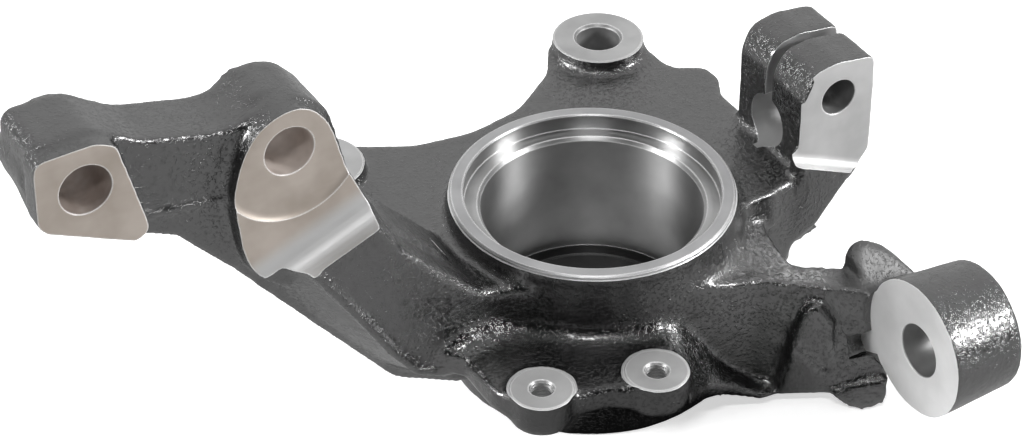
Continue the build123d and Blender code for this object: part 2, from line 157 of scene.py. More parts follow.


# %% The cast skin
def cast_skin():
    mat, t = new_material("sand_cast_iron_black")
    place = add(t, "ShaderNodeTexCoord").outputs["Object"]
    grain = add(t, "ShaderNodeTexNoise", {"Scale": per_metre(GRAIN), "Detail": 3.0, "Roughness": 0.6},
        {"Vector": place})
    swell = add(t, "ShaderNodeTexNoise", {"Scale": per_metre(SWELL), "Detail": 3.0, "Roughness": 0.55},
        {"Vector": place})
    cloud = add(t, "ShaderNodeTexNoise", {"Scale": per_metre(CLOUD), "Detail": 4.0, "Roughness": 0.6},
        {"Vector": place})
    satin = add(t, "ShaderNodeMapRange", {"From Min": 0.3, "From Max": 0.7, "To Min": 0.21, "To Max": 0.3},
        {"Value": cloud.outputs["Fac"]})
    from_fin = add(t, "ShaderNodeVectorMath", {1: [v * MM for v in DULL_AT]}, {0: place}, operation="DISTANCE")
    dull = add(t, "ShaderNodeMapRange",
        {"From Min": DULL_OUT * MM, "From Max": DULL_IN * MM, "To Min": 0.0, "To Max": 0.3},
        {"Value": from_fin.outputs["Value"]})
    rough = add(t, "ShaderNodeMath", links={0: satin.outputs[0], 1: dull.outputs[0]}, operation="ADD")
    coarse = add(t, "ShaderNodeBump", {"Strength": 0.5, "Distance": SWELL_HEIGHT * MM},
        {"Height": swell.outputs["Fac"]})
    peaks = add(t, "ShaderNodeMapRange", {"From Min": 0.47, "From Max": 0.72}, {"Value": grain.outputs["Fac"]},
        interpolation_type="SMOOTHSTEP")
    fine = add(t, "ShaderNodeBump", {"Strength": 1.0, "Distance": GRAIN_HEIGHT * MM},
        {"Height": peaks.outputs[0], "Normal": coarse.outputs[0]})
    # painted shade: the coat's sheen falls off in the flange's trough, where the hub wall hides the sky
    from_trough = add(t, "ShaderNodeVectorMath", {1: [v * MM for v in TROUGH_SHADE_AT]}, {0: place}, operation="DISTANCE")
    trough_shade = add(t, "ShaderNodeMapRange",
        {"From Min": TROUGH_SHADE_OUT * MM, "From Max": TROUGH_SHADE_IN * MM, "To Min": 0.5, "To Max": 0.26},
        {"Value": from_trough.outputs["Value"]}, interpolation_type="SMOOTHSTEP")
    shader = add(t, "ShaderNodeBsdfPrincipled", {"Base Color": linear("#030303"), "IOR": 2.2},
        {"Roughness": rough.outputs[0], "Normal": fine.outputs[0], "Specular IOR Level": trough_shade.outputs[0]})
    return close_material(mat, t, shader)


SKIN = cast_skin()

# %% [markdown]
# ## Material 2: machined iron
# A face mill leaves fine crossing streaks and a turning tool leaves fine rings. At this distance they
# melt into a soft, slightly uneven silver. The bare metal is brighter than the coat and warmer on
# the strut pads, where the coolant has left a faint stain. Along the deburred edges a painted
# highlight, a near-white colour that is less metallic, stands in for their glint. The Bevel node
# finds the edges: where the rounded normal leaves the true one, there is an edge. Worn and
# oily iron scatters part of the light, so most of these finishes are only partly metallic.

# %% Sizes of the machined skins
EDGE_WIDTH = 0.7        # mm, width of the painted highlight along an edge, a little wider than the real deburred edge
STAIN = 16.7            # mm, patches of stain, and the length of a mill's streak
STREAK_COARSER = 2      # a mill's streaks are too fine to show, so they are drawn twice as wide
RINGS_COARSER = math.tau   # and the rings of a turning tool about six times as wide
WAVE_PERIOD = math.pi / 10   # metres between the rings of a wave texture whose scale is 1
# the second colour is a painted highlight for the deburred edges
CLEAN_IRON, EDGE_GLINT_PAINT = "#b2b2b2", "#f2f2f2"


# %% Machined skins
def machined_skin(name, base, stain, roughness, grooves, turned=False, metal=0.6, brushed=0.0, rim=0.9, fresh=None):
    """Bare cut iron; grooves is the real spacing of the tool marks in mm, as rings about Z if turned.

    fresh is a direction and two levels along it in mm: below the first the metal is unstained.
    """
    mat, t = new_material(name)
    place = add(t, "ShaderNodeTexCoord").outputs["Object"]
    if turned:
        marks = add(t, "ShaderNodeTexWave",
            {"Scale": WAVE_PERIOD / (RINGS_COARSER * grooves * MM), "Distortion": 0.6, "Detail": 2.0},
            {"Vector": place}, wave_type="RINGS", rings_direction="Z")
    else:
        across = 1 / (STREAK_COARSER * grooves * MM)
        streak = add(t, "ShaderNodeMapping", {"Scale": (per_metre(STAIN), across, across)}, {"Vector": place})
        marks = add(t, "ShaderNodeTexNoise", {"Scale": 1.0, "Detail": 2.0}, {"Vector": streak.outputs[0]})
    height = marks.outputs["Fac"]
    cloud = add(t, "ShaderNodeTexNoise", {"Scale": per_metre(STAIN), "Detail": 3.0}, {"Vector": place})
    patch = add(t, "ShaderNodeMapRange", {"From Min": 0.35, "From Max": 0.65}, {"Value": cloud.outputs["Fac"]})
    colour = add(t, "ShaderNodeMix", {"A": linear(stain), "B": linear(base)}, {"Factor": patch.outputs[0]},
        data_type="RGBA")
    if fresh:
        up, low, high = fresh
        above = add(t, "ShaderNodeVectorMath", {1: up}, {0: place}, operation="DOT_PRODUCT")
        old = add(t, "ShaderNodeMapRange", {"From Min": low * MM, "From Max": high * MM},
            {"Value": above.outputs["Value"]}, interpolation_type="SMOOTHSTEP")
        colour = add(t, "ShaderNodeMix", {"A": linear(CLEAN_IRON)},
            {"Factor": old.outputs[0], "B": colour.outputs["Result"]}, data_type="RGBA")
    # painted highlight: where the Bevel node finds an edge, the colour turns near-white and less metallic
    soft = add(t, "ShaderNodeBevel", {"Radius": EDGE_WIDTH * MM}, samples=4)
    true = add(t, "ShaderNodeNewGeometry").outputs["True Normal"]
    agree = add(t, "ShaderNodeVectorMath", links={0: soft.outputs[0], 1: true}, operation="DOT_PRODUCT")
    edge = add(t, "ShaderNodeMapRange", {"From Min": 0.99, "From Max": 0.9, "To Min": 0.0, "To Max": rim},
        {"Value": agree.outputs["Value"]})
    bright = add(t, "ShaderNodeMix", {"B": linear(EDGE_GLINT_PAINT)},
        {"Factor": edge.outputs[0], "A": colour.outputs["Result"]}, data_type="RGBA")
    gloss = add(t, "ShaderNodeMapRange", {"To Min": roughness - 0.06, "To Max": roughness + 0.08},
        {"Value": height})
    bump = add(t, "ShaderNodeBump", {"Strength": 0.25, "Distance": 0.03 * MM},
        {"Height": height, "Normal": soft.outputs[0]})
    glint_metal = add(t, "ShaderNodeMapRange", {"To Min": metal, "To Max": 0.3}, {"Value": edge.outputs[0]})
    wires = {"Base Color": bright.outputs["Result"], "Metallic": glint_metal.outputs[0],
        "Roughness": gloss.outputs[0], "Normal": bump.outputs[0]}
    if brushed:
        wires["Tangent"] = add(t, "ShaderNodeCombineXYZ", {"Z": 1.0}).outputs[0]
    shader = add(t, "ShaderNodeBsdfPrincipled", {"Anisotropic": brushed}, wires)
    return close_material(mat, t, shader)


# %% One finish for each tool
SHELF_UP = (-0.369, 0.0, 0.9295)   # square to the milled shelf
SHELF_AT = SHELF_UP[0] * SHELF_START[0] + SHELF_UP[2] * (SHELF_START[1] + RING_Z)
# strut pads: milled with coolant, so warm, matt and mottled, but plain silver down on the shelf
PAD = machined_skin("face_milled_iron", "#aba29a", "#978e85", 0.5, 0.8, fresh=(SHELF_UP, SHELF_AT + 5, SHELF_AT + 12))
# track-rod face: the cleanest cut, an even pale silver
FLAT = machined_skin("milled_bright_iron", "#dedede", "#cfcfcf", 0.5, 0.8, metal=0.4)
# lug tops: plain silver of a middle tone
LUG = machined_skin("spot_faced_iron", "#adadad", "#9a9a9a", 0.5, 0.8)
# ring: smooth turned metal, which mirrors each lamp as a soft sweep round it
TURNED = machined_skin("turned_iron", "#b6b6b7", "#a4a4a5", 0.34, 0.5, turned=True, metal=1.0)
# bearing seat: the grooves that run round it draw each lamp out into an upright band
SEAT = machined_skin("bored_iron", "#b2b2b2", "#a0a0a0", 0.35, 0.5, turned=True, metal=1.0, brushed=0.8)
# strut holes: a drill's marks are twice as wide, and the stain in them is brown
DRILLED = machined_skin("drilled_iron", "#cbc1ba", "#857972", 0.45, 1.6, metal=0.4)
# bottom of the hub: painted shade, the turned iron drawn nearly black where it lies deep in the bore
SHADED = machined_skin("hub_floor_painted_shade_iron", "#4c4c4c", "#3a3a3a", 0.5, 0.6, metal=1.0, rim=0.1)
# clamp front: a lighter cut, so it is a little smoother and a shade brighter than the lugs
MILLED = machined_skin("clamp_milled_iron", "#c2c2c2", "#b0b0b0", 0.45, 0.8)
# small bores, threads and the saw cut: smooth grey that darkens with depth
REAMED = machined_skin("reamed_iron", "#a6a6a6", "#6a6a6a", 0.4, 1.2)
MATERIALS = [SKIN, PAD, FLAT, LUG, TURNED, SEAT, DRILLED, SHADED, MILLED, REAMED]
CAST, FACE, MILL, SPOT, LATHE, BORE, HOLE, DARK, CLAMP, REAM = range(len(MATERIALS))   # their face numbers

# %% [markdown]
# ## Step 1: the rough casting
# The foundry's casting is a little fatter than the finished part where a face will be machined. So
# the CAD solid is copied, its bores are plugged and its machined faces get a thin layer of stock.
# The lot is then remeshed to small even cells and relaxed, which rounds every cast edge as a sand
# mould does, and only afterwards machined. That keeps machined borders crisp and cast ones soft.
# Rounding the edges in the CAD solid instead would need many thousands of facets there.


# %% Mesh helpers
def keep_object(name, mesh):
    obj = bpy.data.objects.new(name, mesh)
    bpy.context.scene.collection.objects.link(obj)
    return obj


def baked(obj):
    """The object's mesh with its modifiers applied; the object and its modifiers are gone."""
    mesh = bpy.data.meshes.new_from_object(obj.evaluated_get(bpy.context.evaluated_depsgraph_get()))
    bpy.data.objects.remove(obj)
    return mesh


def dress(mesh, index=None):
    """Gives the mesh the whole list of finishes; with a number, all its faces get that one alone."""
    if index is not None:
        mesh.materials.clear()
    for mat in MATERIALS:
        mesh.materials.append(mat)
    if index is not None:
        for f in mesh.polygons:
            f.material_index = index


def joined(name, meshes):
    bm = bmesh.new()
    for mesh in meshes:
        bm.from_mesh(mesh)
    out = bpy.data.meshes.new(name)
    bm.to_mesh(out)
    bm.free()
    return out


# %% Solids of simple shape, for stock and for cutters
def across_axis(point, level, axis):
    """The place in the frame, in metres, of a point square to an axis at some level along it."""
    a, b = point
    if axis == "x":
        place = (level, a, b + RING_Z)
    elif axis == "y":
        place = (a, level, b + RING_Z)
    else:
        place = (a, b, level + RING_Z)
    return Vector(place) * MM


def closed_mesh(name, bm, index):
    """Ends a closed solid: its faces point outwards and all have one finish."""
    bmesh.ops.recalc_face_normals(bm, faces=bm.faces)
    for f in bm.faces:
        f.material_index = index
    mesh = bpy.data.meshes.new(name)
    bm.to_mesh(mesh)
    bm.free()
    return mesh


def turned_mesh(name, profile, centre=(0, 0), axis="z", steps=96, index=CAST):
    """A closed solid of revolution from (radius, height) points, the first and last on the axis."""
    bm = bmesh.new()
    rings = []
    for r, h in profile:
        count = 1 if r < 1e-6 else steps
        turn = [2 * math.pi * i / steps for i in range(count)]
        points = [(centre[0] + r * math.cos(a), centre[1] + r * math.sin(a)) for a in turn]
        rings.append([bm.verts.new(across_axis(p, h, axis)) for p in points])
    for a, b in zip(rings, rings[1:]):
        for i in range(steps):
            j = (i + 1) % steps
            loop = [a[i % len(a)], a[j % len(a)], b[j % len(b)], b[i % len(b)]]
            bm.faces.new(list(dict.fromkeys(loop)))
    return closed_mesh(name, bm, index)


def wall_round(bm, low, high):
    """Closes two matching loops of points: an end on each, and the wall between them."""
    bm.faces.new(low)
    bm.faces.new(high[::-1])
    for i in range(len(low)):
        j = (i + 1) % len(low)
        bm.faces.new([low[j], low[i], high[i], high[j]])


def prism_mesh(name, outline, start, end, index=CAST, axis="y", top=None):
    """A closed prism between two levels of an axis; a second outline, top, makes it taper."""
    bm = bmesh.new()
    low = [bm.verts.new(across_axis(p, start, axis)) for p in outline]
    high = [bm.verts.new(across_axis(p, end, axis)) for p in top or outline]
    wall_round(bm, low, high)
    return closed_mesh(name, bm, index)


def bead_mesh(name, points, radius):
    """A round bead along (x, y, z) points, with closed ends."""
    curve = bpy.data.curves.new(name, "CURVE")
    curve.dimensions = "3D"
    curve.bevel_depth = radius * MM
    curve.bevel_resolution = 3
    curve.use_fill_caps = True
    line = curve.splines.new("POLY")
    line.points.add(len(points) - 1)
    for knot, (x, y, z) in zip(line.points, points):
        knot.co = (x * MM, y * MM, (z + RING_Z) * MM, 1)
    return baked(keep_object(name, curve))


# %% Copy the CAD solid
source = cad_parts[CAST_NODE]
cast_mesh = source.data.copy()
cast_mesh.materials.clear()
bm = bmesh.new()
bm.from_mesh(cast_mesh)
bmesh.ops.remove_doubles(bm, verts=bm.verts, dist=0.002 * MM)
for f in bm.faces:
    f.smooth = False
    f.material_index = CAST
print("CAD copy:", len(bm.faces), "faces,", sum(1 for e in bm.edges if not e.is_manifold), "open edges")

# %% Thicken the machined faces
STOCK = 1.6   # mm of iron left on a face for the cutter
MACHINED = [   # axis, level along it, and the side that the face looks to
    ("y", PAD_Y, -1), ("y", PAD_Y + SPOT_DEPTH, -1), ("y", CLAMP_FRONT, -1), ("x", ROD_FACE_X, -1),
    ("z", LUG_TOP + RING_Z, 1), ("z", SMALL_TOP + RING_Z, 1), ("z", LUG_FOOT + RING_Z, -1),
]
bm.normal_update()
for axis, level, side in MACHINED:
    k = "xyz".index(axis)
    flat = [f for f in bm.faces if f.normal[k] * side > 0.9999
        and abs(f.calc_center_median()[k] - level * MM) < 0.01 * MM]
    grown = bmesh.ops.extrude_face_region(bm, geom=flat)["geom"]
    shift = Vector([side * STOCK * MM if i == k else 0 for i in range(3)])
    bmesh.ops.translate(bm, vec=shift, verts=[g for g in grown if isinstance(g, bmesh.types.BMVert)])
    bmesh.ops.delete(bm, geom=flat, context="FACES")
    print("stock on", axis, level, "over", len(flat), "facets")
bm.to_mesh(cast_mesh)
bm.free()

# %% [markdown]
# A plug only has to fill its bore with iron to spare, so its own size leaves no mark on the part. The
# two prisms square off corners that a mill later rounds. The two beads are the mould's parting line on
# the bridge and the ridge along the lower edge of the leg, each buried but for its crown.

# %% Plug the bores
hub_plug = [(0, -63.5), (43, -63.5), (43, -4), (RING_R + 0.4, -4), (RING_R + 0.4, STOCK), (0, STOCK)]
rod_plug = [(0, ROD_FACE_X - STOCK), (ROD_HOLE_R + 4, ROD_FACE_X - STOCK), (ROD_HOLE_R + 4, 91.5), (0, 91.5)]
lug_plug = [(0, LUG_FOOT - STOCK), (11, LUG_FOOT - STOCK), (11, LUG_TOP + STOCK), (0, LUG_TOP + STOCK)]
small_plug = [(0, -34.3), (6, -34.3), (6, SMALL_TOP + STOCK), (0, SMALL_TOP + STOCK)]
strut_plug = [(0, PAD_Y - STOCK), (11, PAD_Y - STOCK), (11, 0), (14.5, 0), (14.5, BACK_Y - 0.1), (0, BACK_Y - 0.1)]
pinch_plug = [(0, CLAMP_FRONT - STOCK), (8, CLAMP_FRONT - STOCK), (8, CLAMP_BACK - 0.1), (0, CLAMP_BACK - 0.1)]
ball_plug = [(0, 69.2), (10.5, 69.2), (10.5, 96.3), (0, 96.3)]
slit_plug = [(69.5, 0), (69.5, 22), (74, 28), (82, 29.4), (95.4, 27.5), (96.2, 14), (96.2, 0)]

# %% Fill the corners, lay the beads and join it all
LEG_FRONT = [(-112, 25), (-112, 44), (-96, 44), (-86.5, 29), (-80, 20.5), (-92, 10)]
LEG_BACK = [(-120.5, 18), (-120.5, 44), (-90, 44), (-82.5, 29), (-80, 20.5), (-95, 5)]
NECK_TOP = [(66, -10), (66, 0), (96, 0), (96, -4), (89, -12.5), (84, -18)]
SEAM_Y, SEAM_R, SEAM = -6.7, 1.0, [(-160, 52.2), (-123, 47.1)]
RIDGE_Y, RIDGE_R = -21.7, 1.7
RIDGE = [(-110, 23), (-108.2, 20.2), (-95.6, 0.6), (-84.5, -17.6), (-76.2, -28.2), (-66, -33)]
stock = [
    turned_mesh("plug", hub_plug),
    prism_mesh("leg_top", LEG_FRONT, -22, -7, top=LEG_BACK),
    prism_mesh("neck_top", NECK_TOP, -20, -15),
    bead_mesh("seam", [(x, SEAM_Y, z) for x, z in SEAM], SEAM_R),
    bead_mesh("ridge", [(x, RIDGE_Y, z) for x, z in RIDGE], RIDGE_R),
    turned_mesh("rod", rod_plug, ROD_CENTRE, "x"),
]
stock += [turned_mesh("lug", lug_plug, centre) for centre in CALIPERS]
stock += [turned_mesh("small", small_plug, centre) for centre in SMALLS]
stock += [turned_mesh("strut", strut_plug, centre, "y") for centre in STRUTS]
stock += [
    turned_mesh("pinch", pinch_plug, PINCH, "y"),
    turned_mesh("ball", ball_plug, (SLIT_Y, BALL_Z), "x"),
    prism_mesh("slit", slit_plug, 0.2, 5.2),
]
blank_mesh = joined("casting_blank", [cast_mesh] + stock)
dress(blank_mesh)
print("blank:", len(blank_mesh.polygons), "faces,", len(stock), "pieces of stock")

# %% Remesh to small even cells and relax
VOXEL = 1.2   # mm; finer cells would give the piece more than 200,000 triangles
blank = keep_object("blank", blank_mesh)
remesh = blank.modifiers.new("cells", "REMESH")
remesh.mode = "VOXEL"
remesh.voxel_size = VOXEL * MM
relax = blank.modifiers.new("relax", "SMOOTH")
relax.factor = 0.5
relax.iterations = 2
rough_mesh = baked(blank)
print("rough casting:", len(rough_mesh.polygons), "quads")

# %% [markdown]
# ## Step 2: the grain of the mould
# The sand's print is too large to be only a trick of light at the silhouette, so the surface itself
# moves a tenth of a millimetre or two. A small Geometry Nodes tree does that: every vertex slides
# along its normal by a noise. Its cells are a few millimetres wide, because the mesh can't hold finer
# ones, and the material's bump carries the rest.


# %% Geometry Nodes: helpers
def group_tree(name, sizes):
    """A new tree with a geometry input and one number for each named size."""
    tree = bpy.data.node_groups.new(name, "GeometryNodeTree")
    tree.interface.new_socket("Geometry", in_out="INPUT", socket_type="NodeSocketGeometry")
    for label in sizes:
        tree.interface.new_socket(label, in_out="INPUT", socket_type="NodeSocketFloat")
    tree.interface.new_socket("Geometry", in_out="OUTPUT", socket_type="NodeSocketGeometry")
    return tree, add(tree, "NodeGroupInput")


def finish_tree(tree, geometry, material):
    real = add(tree, "GeometryNodeRealizeInstances", links={0: geometry})
    done = add(tree, "GeometryNodeSetMaterial", {"Material": material}, {"Geometry": real.outputs[0]})
    add(tree, "NodeGroupOutput", links={0: done.outputs[0]})
    return tree


def run_tree(obj, tree, values):
    """Sets the tree's named inputs by their identifiers and returns the plain mesh it makes."""
    mod = obj.modifiers.new("nodes", "NODES")
    mod.node_group = tree
    names = {s.name: s.identifier for s in tree.interface.items_tree if s.in_out == "INPUT"}
    for label, value in values.items():
        mod[names[label]] = value
    return baked(obj)


# %% Geometry Nodes: sand relief
RELIEF_GRAIN, RELIEF_SWELL, RELIEF_DEPTH = 3.85, 14.3, 0.35   # mm


def relief_tree():
    tree, entry = group_tree("sand_relief", ["Grain", "Swell", "Depth"])
    place = add(tree, "GeometryNodeInputPosition").outputs[0]
    normal = add(tree, "GeometryNodeInputNormal").outputs[0]
    fine = add(tree, "ShaderNodeTexNoise", {"Detail": 2.0}, {"Vector": place, "Scale": entry.outputs["Grain"]})
    slow = add(tree, "ShaderNodeTexNoise", {"Detail": 1.0}, {"Vector": place, "Scale": entry.outputs["Swell"]})
    total = add(tree, "ShaderNodeMath", links={0: fine.outputs["Fac"], 1: slow.outputs["Fac"]}, operation="ADD")
    level = add(tree, "ShaderNodeMath", {1: 1.0}, {0: total.outputs[0]}, operation="SUBTRACT")
    depth = add(tree, "ShaderNodeMath", links={0: level.outputs[0], 1: entry.outputs["Depth"]}, operation="MULTIPLY")
    push = add(tree, "ShaderNodeVectorMath", links={0: normal, "Scale": depth.outputs[0]}, operation="SCALE")
    move = add(tree, "GeometryNodeSetPosition", links={"Geometry": entry.outputs[0], "Offset": push.outputs[0]})
    return finish_tree(tree, move.outputs[0], SKIN)


relief = {"Grain": per_metre(RELIEF_GRAIN), "Swell": per_metre(RELIEF_SWELL), "Depth": RELIEF_DEPTH * MM}
skin_mesh = run_tree(keep_object("rough", rough_mesh), relief_tree(), relief)
print("relief on", len(skin_mesh.vertices), "points")

# %% [markdown]
# ## Step 3: the threads
# The two small lugs carry a brake shield on M8 screws. A thread follows a rule, so it is made as one:
# a fine tube whose radius follows the height plus the turn about the axis. The tube is a cutter, and
# what it leaves in the iron is the thread.

# %% Geometry Nodes: thread cutter
THREAD_PITCH, THREAD_DEPTH = 1.25, 0.4   # mm; the depth is drawn shallower than real, for clean cuts
THREAD_FOOT, THREAD_LENGTH = -36.5, 14.0
ROWS_PER_TURN = 6


def thread_tree():
    tree, entry = group_tree("thread", ["Pitch", "Depth", "X", "Y"])
    place = add(tree, "GeometryNodeInputPosition").outputs[0]
    centre = add(tree, "ShaderNodeCombineXYZ", links={"X": entry.outputs["X"], "Y": entry.outputs["Y"]})
    local = add(tree, "ShaderNodeVectorMath", links={0: place, 1: centre.outputs[0]}, operation="SUBTRACT")
    part = add(tree, "ShaderNodeSeparateXYZ", links={0: local.outputs[0]})
    angle = add(tree, "ShaderNodeMath", links={0: part.outputs["Y"], 1: part.outputs["X"]}, operation="ARCTAN2")
    turn = add(tree, "ShaderNodeMath", {1: 2 * math.pi}, {0: angle.outputs[0]}, operation="DIVIDE")
    rise = add(tree, "ShaderNodeMath", links={0: part.outputs["Z"], 1: entry.outputs["Pitch"]}, operation="DIVIDE")
    phase = add(tree, "ShaderNodeMath", links={0: rise.outputs[0], 1: turn.outputs[0]}, operation="SUBTRACT")
    wave = add(tree, "ShaderNodeMath", {1: 0.5}, {0: phase.outputs[0]}, operation="PINGPONG")
    lift = add(tree, "ShaderNodeMath", {1: 2.0}, {0: wave.outputs[0]}, operation="MULTIPLY")
    depth = add(tree, "ShaderNodeMath", links={0: lift.outputs[0], 1: entry.outputs["Depth"]}, operation="MULTIPLY")
    flat = add(tree, "ShaderNodeVectorMath", {1: (1, 1, 0)}, {0: local.outputs[0]}, operation="MULTIPLY")
    out = add(tree, "ShaderNodeVectorMath", links={0: flat.outputs[0]}, operation="NORMALIZE")
    push = add(tree, "ShaderNodeVectorMath", links={0: out.outputs[0], "Scale": depth.outputs[0]}, operation="SCALE")
    move = add(tree, "GeometryNodeSetPosition", links={"Geometry": entry.outputs[0], "Offset": push.outputs[0]})
    return finish_tree(tree, move.outputs[0], REAMED)


def thread_cutter(centre):
    rows = int(THREAD_LENGTH / THREAD_PITCH * ROWS_PER_TURN)
    profile = [(0, THREAD_FOOT)]
    profile += [(SMALL_HOLE_R, THREAD_FOOT + THREAD_LENGTH * i / rows) for i in range(rows + 1)]
    profile += [(0, THREAD_FOOT + THREAD_LENGTH)]
    tube = keep_object("tube", turned_mesh("tube", profile, centre, steps=36))
    values = {"Pitch": THREAD_PITCH * MM, "Depth": THREAD_DEPTH * MM, "X": centre[0] * MM, "Y": centre[1] * MM}
    mesh = run_tree(tube, THREAD, values)
    dress(mesh, REAM)
    return mesh


THREAD = thread_tree()
threads = [thread_cutter(c) for c in SMALLS]
print("thread cutters:", [len(m.polygons) for m in threads], "faces")

# %% [markdown]
# ## Step 4: machining
# Every machined face is cut by the shape that really makes it: a face mill with a rounded corner, a
# drill, a boring bar, a saw. Each cutter is a closed mesh that carries the machined finish, so the
# faces that it leaves behind already have the right material. Where a cutter only clears the way to
# its face, its other sides reach a few millimetres past the iron.

# %% Cutters for the hub
RING_BREAK, COUNTER_BREAK, SHOULDER_BREAK = 0.6, 0.4, 0.5   # mm, the chamfers
LEAD_IN, LEAD_LENGTH = 1.0, 1.2                             # mm, the cone that guides the bearing in
HUB_MILL_R = 57.0
SEAT_FLOOR = 0.1 - SEAT_DEPTH   # the boring bar stops just above the shoulder, which has its own cutter
cutters = [
    turned_mesh("hub_face", [(0, 6), (HUB_MILL_R, 6), (HUB_MILL_R, RING_STEP), (RING_R, RING_STEP),
        (RING_R, -RING_BREAK), (RING_R - RING_BREAK, 0), (0, 0)], index=LATHE, steps=160),
    turned_mesh("hub_bore", [(0, 1), (COUNTER_R + COUNTER_BREAK, 1), (COUNTER_R + COUNTER_BREAK, 0),
        (COUNTER_R, -COUNTER_BREAK), (COUNTER_R, -COUNTER_DEPTH), (SEAT_R + LEAD_IN, -COUNTER_DEPTH),
        (SEAT_R, -COUNTER_DEPTH - LEAD_LENGTH), (SEAT_R, SEAT_FLOOR), (0, SEAT_FLOOR)], index=BORE, steps=160),
    # the shoulder and the bore below it take the nearly black finish: painted shade deep in the hub
    turned_mesh("shoulder", [(0, 1 - SEAT_DEPTH), (SEAT_R - 0.02, 1 - SEAT_DEPTH), (SEAT_R - 0.02, -SEAT_DEPTH),
        (SHOULDER_R + SHOULDER_BREAK, -SEAT_DEPTH), (SHOULDER_R, -SEAT_DEPTH - SHOULDER_BREAK),
        (SHOULDER_R, HUB_BOTTOM + 0.8), (SHOULDER_R + 0.9, HUB_BOTTOM - 1), (0, HUB_BOTTOM - 1)],
        index=DARK, steps=160),
]
print("hub:", [m.name for m in cutters])

# %% Cutters for the lugs
RIM_BREAK, HOLE_BREAK = 0.5, 0.9   # mm, chamfers round a lug's top and round its hole
LUG_MILL_R, SMALL_MILL_R = 18.5, 12.0
WIDE_R = CALIPER_HOLE_R + HOLE_BREAK
SINK_R, SINK_FOOT = 4.1, -24.0     # the small countersink that starts a thread
for centre in CALIPERS:
    cutters.append(turned_mesh("lug_top", [(0, 4), (LUG_MILL_R, 4), (LUG_MILL_R, LUG_TOP - RIM_BREAK),
        (LUG_R + 0.2, LUG_TOP - RIM_BREAK), (LUG_R - 0.6, LUG_TOP), (0, LUG_TOP)], centre, index=SPOT))
    cutters.append(turned_mesh("lug_foot", [(0, -34), (19, -34), (19, LUG_FOOT), (0, LUG_FOOT)], centre, index=SPOT))
    cutters.append(turned_mesh("lug_hole", [(0, 2), (WIDE_R, 2), (WIDE_R, LUG_TOP),
        (CALIPER_HOLE_R, LUG_TOP - HOLE_BREAK), (CALIPER_HOLE_R, LUG_FOOT + HOLE_BREAK), (WIDE_R, LUG_FOOT),
        (WIDE_R, LUG_FOOT - 1), (0, LUG_FOOT - 1)], centre, index=REAM))
for centre, thread in zip(SMALLS, threads):
    cutters.append(turned_mesh("small_top", [(0, -19), (SMALL_MILL_R, -19), (SMALL_MILL_R, SMALL_TOP - RIM_BREAK),
        (SMALL_R + 0.1, SMALL_TOP - RIM_BREAK), (SMALL_R - 0.6, SMALL_TOP), (0, SMALL_TOP)], centre, index=SPOT))
    cutters.append(turned_mesh("small_sink", [(0, -20), (SINK_R, -20), (SINK_R, SMALL_TOP),
        (SMALL_HOLE_R - 0.1, SINK_FOOT), (0, SINK_FOOT)], centre, index=REAM))
    cutters.append(thread)
print("with the lugs:", len(cutters), "cutters")


# %% A face mill's sweep
def mill_sweep(start, end, face_y, radius, up, index, steps=8):
    """What a mill clears in front of face_y, above a line in (x, z), with its corner rounded."""
    start, end = Vector(start), Vector(end)
    along = (end - start).normalized()
    rise = Vector((-along.y, along.x))
    section = [(face_y - 30, 0), (face_y - 30, up), (face_y, up)]
    section += [(face_y - radius + radius * math.cos(a), radius - radius * math.sin(a))
        for a in [math.pi / 2 * i / steps for i in range(steps + 1)]]
    bm = bmesh.new()
    loops = [[bm.verts.new(across_axis(foot + rise * h, y, "y")) for y, h in section] for foot in (start, end)]
    wall_round(bm, *loops)
    return closed_mesh("mill", bm, index)


# %% Cutters for the strut pads
SHELF_CORNER, COVE = 8.5, 3.5   # mm, corner radii of the mill and of the spot-facing tool
COVE_STEPS = 6
SPOT_FLOOR = PAD_Y + SPOT_DEPTH
cutters.append(prism_mesh("pad_face", [(-196, 40), (-196, 96), (-150, 96), (-150, 40)], PAD_Y - 20, PAD_Y, index=FACE))
cutters.append(mill_sweep(SHELF_START, SHELF_END, PAD_Y, SHELF_CORNER, 80, FACE))
reach = math.acos(1 - SPOT_DEPTH / COVE)   # the round corner's angle at the rim, which falls to 0 at the floor
fall = [reach * (1 - i / COVE_STEPS) for i in range(COVE_STEPS + 1)]
cove = [(SPOT_R + COVE * (math.sin(a) - math.sin(reach)), SPOT_FLOOR - COVE * (1 - math.cos(a))) for a in fall]
cutters.append(turned_mesh("spot", [(0, PAD_Y - 3), (SPOT_R, PAD_Y - 3), *cove, (0, SPOT_FLOOR)], STRUTS[1], "y",
    index=FACE))
for centre, front in zip(STRUTS, (PAD_Y, SPOT_FLOOR)):
    back = BACK_Y - 0.8
    cutters.append(turned_mesh("back_spot", [(0, back), (14, back), (14, BACK_Y + 4), (0, BACK_Y + 4)], centre, "y",
        index=FACE))
    cutters.append(turned_mesh("strut_hole", [(0, front - 1), (STRUT_HOLE_R + 0.1, front - 1),
        (STRUT_HOLE_R + 0.1, front), (STRUT_HOLE_R, front + 0.1), (STRUT_HOLE_R, back - 0.5),
        (STRUT_HOLE_R + 0.5, back), (STRUT_HOLE_R + 0.5, back + 2), (0, back + 2)], centre, "y", index=HOLE))
print("with the strut pads:", len(cutters), "cutters")

